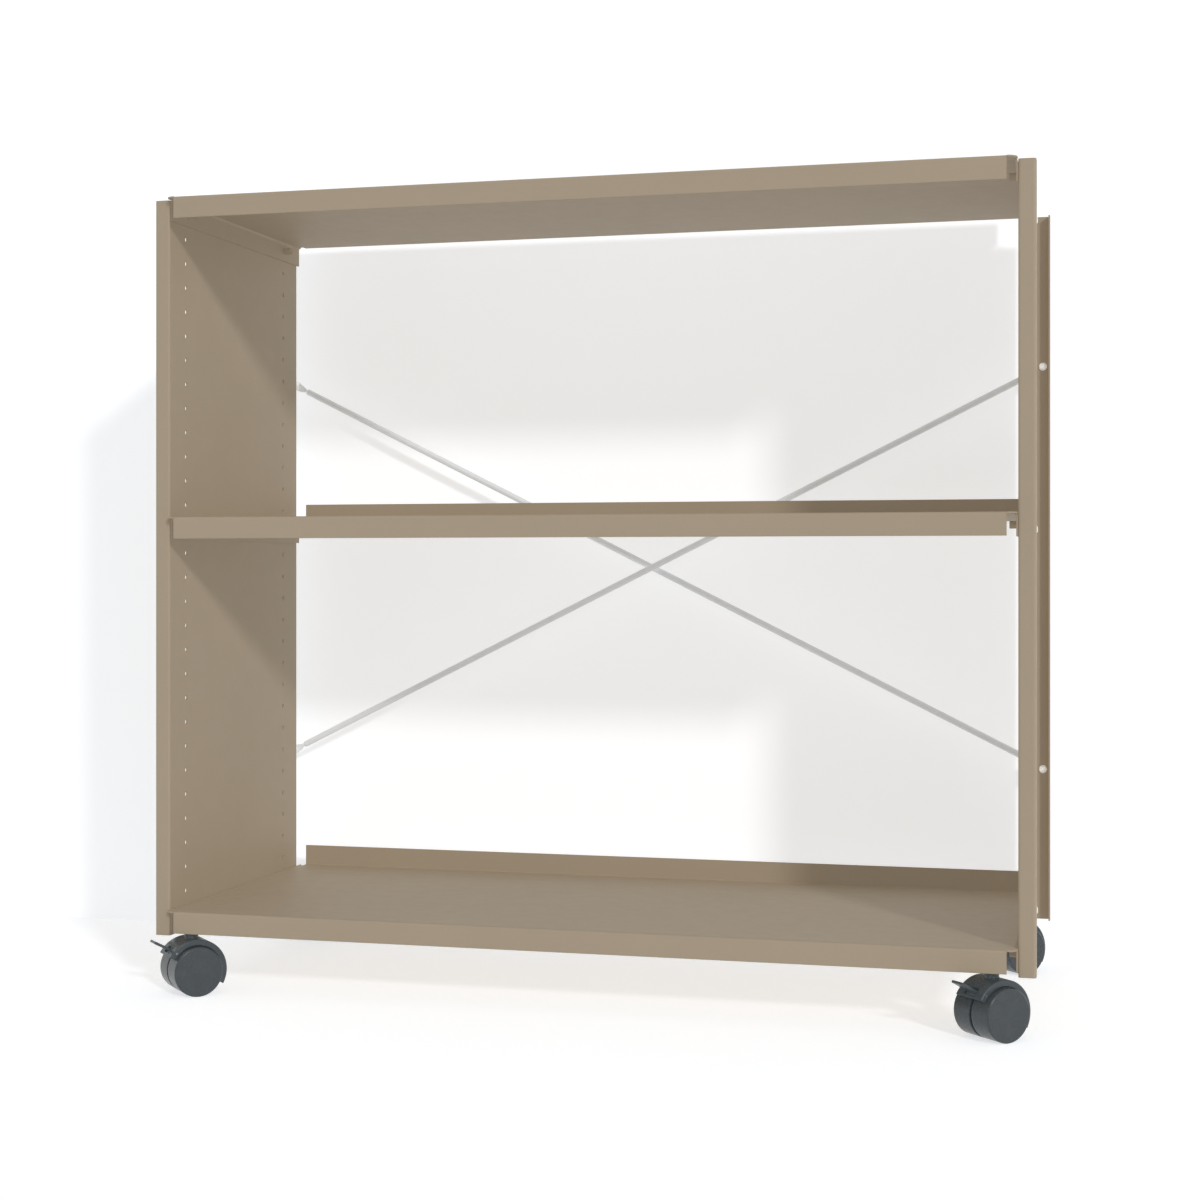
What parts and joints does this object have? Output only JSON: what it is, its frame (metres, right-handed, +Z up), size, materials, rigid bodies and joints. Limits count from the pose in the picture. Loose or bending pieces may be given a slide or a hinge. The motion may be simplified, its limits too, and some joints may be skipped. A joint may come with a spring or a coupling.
{
  "type": "rolling shelf unit",
  "caption": "Low sheet steel shelf unit on twin-wheel casters, with perforated channel sides, tray shelves and a crossed rod brace at the back.",
  "frame": {"origin": "on the floor under the middle of the unit, at the bottom centre of its bounding box", "axes": "+X to the right and +Z up; the open front with the shelf lips faces -Y and the crossed rods are at +Y"},
  "size_m": [0.8814, 0.3936, 0.8311],
  "materials": {
    "paint": "satin beige-grey powder coat",
    "rod_steel": "light grey coated steel",
    "screw_steel": "bright zinc",
    "mount_steel": "satin beige-grey powder coat",
    "pin_steel": "turned steel",
    "hood_plastic": "dark grey moulded plastic",
    "wheel_plastic": "dark grey moulded plastic"
  },
  "bodies": {
    "frame": {"side_panel_left": "paint", "side_panel_right": "paint", "shelf_top": "paint", "shelf_middle": "paint", "shelf_bottom": "paint", "shelf_screws": "screw_steel", "shelf_nuts": "paint", "brace_rod_front": "rod_steel", "brace_rod_rear": "rod_steel", "brace_spacers": "screw_steel", "brace_bolts": "screw_steel", "brace_nuts": "screw_steel", "caster_mounts": "mount_steel", "caster_stems": "pin_steel"},
    "swivel_front_left": {"caster_hood_front_left": "hood_plastic", "caster_axle_front_left": "pin_steel", "lever_pin_front_left": "pin_steel"},
    "wheel_a_front_left": {"wheel_a_front_left": "wheel_plastic"},
    "wheel_b_front_left": {"wheel_b_front_left": "wheel_plastic"},
    "brake_lever_front_left": {"brake_lever_front_left": "hood_plastic"},
    "swivel_front_right": {"caster_hood_front_right": "hood_plastic", "caster_axle_front_right": "pin_steel", "lever_pin_front_right": "pin_steel"},
    "wheel_a_front_right": {"wheel_a_front_right": "wheel_plastic"},
    "wheel_b_front_right": {"wheel_b_front_right": "wheel_plastic"},
    "brake_lever_front_right": {"brake_lever_front_right": "hood_plastic"},
    "swivel_rear_left": {"caster_hood_rear_left": "hood_plastic", "caster_axle_rear_left": "pin_steel", "lever_pin_rear_left": "pin_steel"},
    "wheel_a_rear_left": {"wheel_a_rear_left": "wheel_plastic"},
    "wheel_b_rear_left": {"wheel_b_rear_left": "wheel_plastic"},
    "brake_lever_rear_left": {"brake_lever_rear_left": "hood_plastic"},
    "swivel_rear_right": {"caster_hood_rear_right": "hood_plastic", "caster_axle_rear_right": "pin_steel", "lever_pin_rear_right": "pin_steel"},
    "wheel_a_rear_right": {"wheel_a_rear_right": "wheel_plastic"},
    "wheel_b_rear_right": {"wheel_b_rear_right": "wheel_plastic"},
    "brake_lever_rear_right": {"brake_lever_rear_right": "hood_plastic"}
  },
  "joints": [
    {"name": "swivel_turn_front_left", "type": "hinge", "parent": "frame", "child": "swivel_front_left", "pos_m": [-0.4005, -0.1625, 0.06], "axis": [0, 0, 1], "continuous": true},
    {"name": "wheel_spin_a_front_left", "type": "hinge", "parent": "swivel_front_left", "child": "wheel_a_front_left", "pos_m": [-0.39091, -0.17243, 0.025], "axis": [0.6947, -0.7193, 0], "continuous": true},
    {"name": "wheel_spin_b_front_left", "type": "hinge", "parent": "swivel_front_left", "child": "wheel_b_front_left", "pos_m": [-0.41009, -0.15257, 0.025], "axis": [0.6947, -0.7193, 0], "continuous": true},
    {"name": "brake_press_front_left", "type": "hinge", "parent": "swivel_front_left", "child": "brake_lever_front_left", "pos_m": [-0.41532, -0.17681, 0.0442], "axis": [0.6947, -0.7193, 0], "range_deg": [0, 18]},
    {"name": "swivel_turn_front_right", "type": "hinge", "parent": "frame", "child": "swivel_front_right", "pos_m": [0.4005, -0.1625, 0.06], "axis": [0, 0, 1], "continuous": true},
    {"name": "wheel_spin_a_front_right", "type": "hinge", "parent": "swivel_front_right", "child": "wheel_a_front_right", "pos_m": [0.41009, -0.17243, 0.025], "axis": [0.6947, -0.7193, 0], "continuous": true},
    {"name": "wheel_spin_b_front_right", "type": "hinge", "parent": "swivel_front_right", "child": "wheel_b_front_right", "pos_m": [0.39091, -0.15257, 0.025], "axis": [0.6947, -0.7193, 0], "continuous": true},
    {"name": "brake_press_front_right", "type": "hinge", "parent": "swivel_front_right", "child": "brake_lever_front_right", "pos_m": [0.38568, -0.17681, 0.0442], "axis": [0.6947, -0.7193, 0], "range_deg": [0, 18]},
    {"name": "swivel_turn_rear_left", "type": "hinge", "parent": "frame", "child": "swivel_rear_left", "pos_m": [-0.4005, 0.1625, 0.06], "axis": [0, 0, 1], "continuous": true},
    {"name": "wheel_spin_a_rear_left", "type": "hinge", "parent": "swivel_rear_left", "child": "wheel_a_rear_left", "pos_m": [-0.39091, 0.15257, 0.025], "axis": [0.6947, -0.7193, 0], "continuous": true},
    {"name": "wheel_spin_b_rear_left", "type": "hinge", "parent": "swivel_rear_left", "child": "wheel_b_rear_left", "pos_m": [-0.41009, 0.17243, 0.025], "axis": [0.6947, -0.7193, 0], "continuous": true},
    {"name": "brake_press_rear_left", "type": "hinge", "parent": "swivel_rear_left", "child": "brake_lever_rear_left", "pos_m": [-0.41532, 0.14819, 0.0442], "axis": [0.6947, -0.7193, 0], "range_deg": [0, 18]},
    {"name": "swivel_turn_rear_right", "type": "hinge", "parent": "frame", "child": "swivel_rear_right", "pos_m": [0.4005, 0.1625, 0.06], "axis": [0, 0, 1], "continuous": true},
    {"name": "wheel_spin_a_rear_right", "type": "hinge", "parent": "swivel_rear_right", "child": "wheel_a_rear_right", "pos_m": [0.41009, 0.15257, 0.025], "axis": [0.6947, -0.7193, 0], "continuous": true},
    {"name": "wheel_spin_b_rear_right", "type": "hinge", "parent": "swivel_rear_right", "child": "wheel_b_rear_right", "pos_m": [0.39091, 0.17243, 0.025], "axis": [0.6947, -0.7193, 0], "continuous": true},
    {"name": "brake_press_rear_right", "type": "hinge", "parent": "swivel_rear_right", "child": "brake_lever_rear_right", "pos_m": [0.38568, 0.14819, 0.0442], "axis": [0.6947, -0.7193, 0], "range_deg": [0, 18]}
  ]
}
